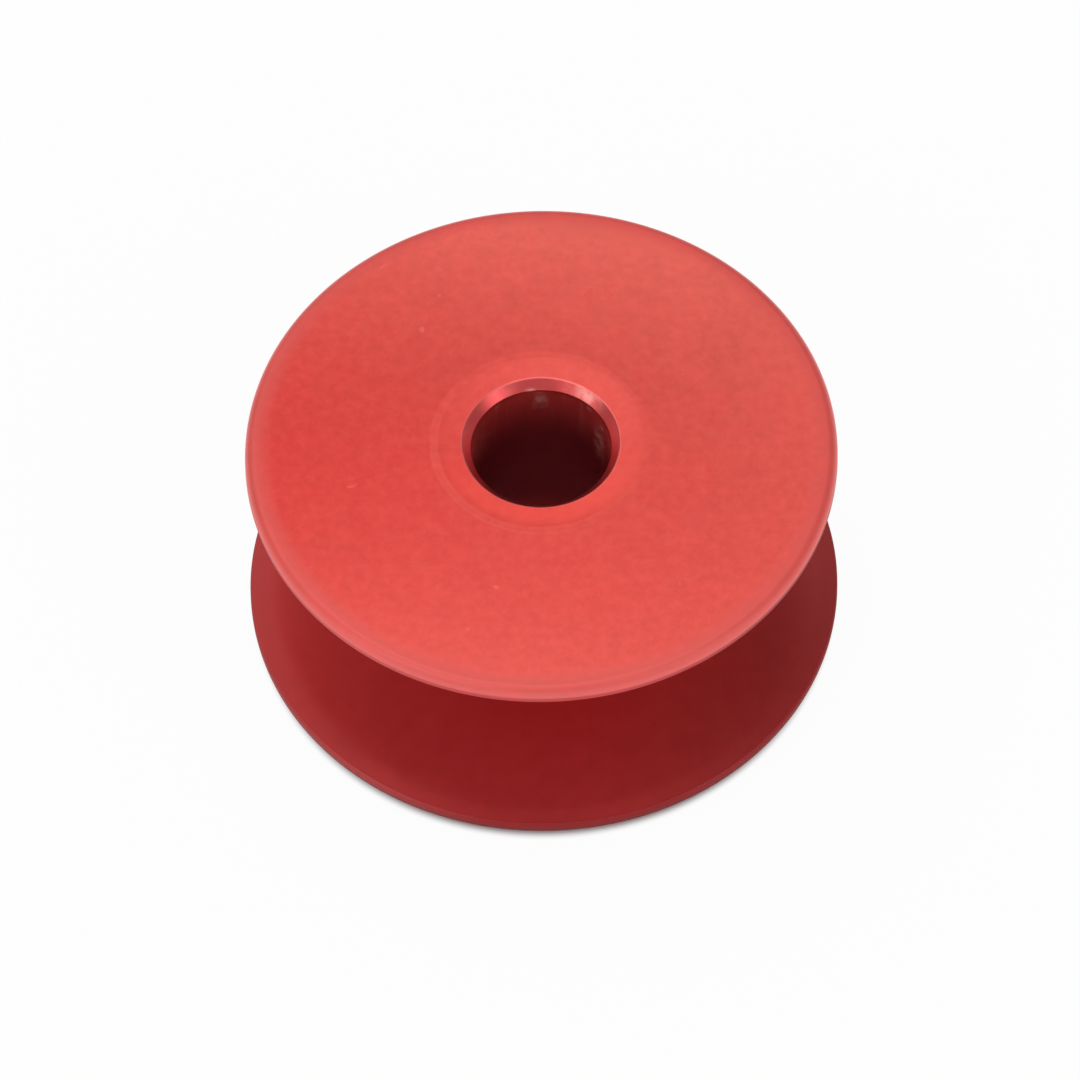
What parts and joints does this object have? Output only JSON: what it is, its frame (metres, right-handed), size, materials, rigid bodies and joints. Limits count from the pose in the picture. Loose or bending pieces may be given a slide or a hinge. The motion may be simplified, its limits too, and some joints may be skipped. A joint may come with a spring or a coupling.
{
  "type": "sewing machine bobbin",
  "caption": "Low spool for sewing thread, turned from bar: thin flanges that taper to rounded rims, a winding core between them, and a through bore with chamfered mouths.",
  "frame": {"origin": "centre of the bore, halfway between the two end lands", "axes": "+Z along the bore; the part stands on the land at -Z, and both ends are alike"},
  "size_m": [0.0254, 0.0254, 0.0116],
  "materials": {
    "anodised_red": "satin red anodising over fine concentric turning marks"
  },
  "bodies": {
    "root": {"bobbin": "anodised_red"}
  },
  "joints": []
}
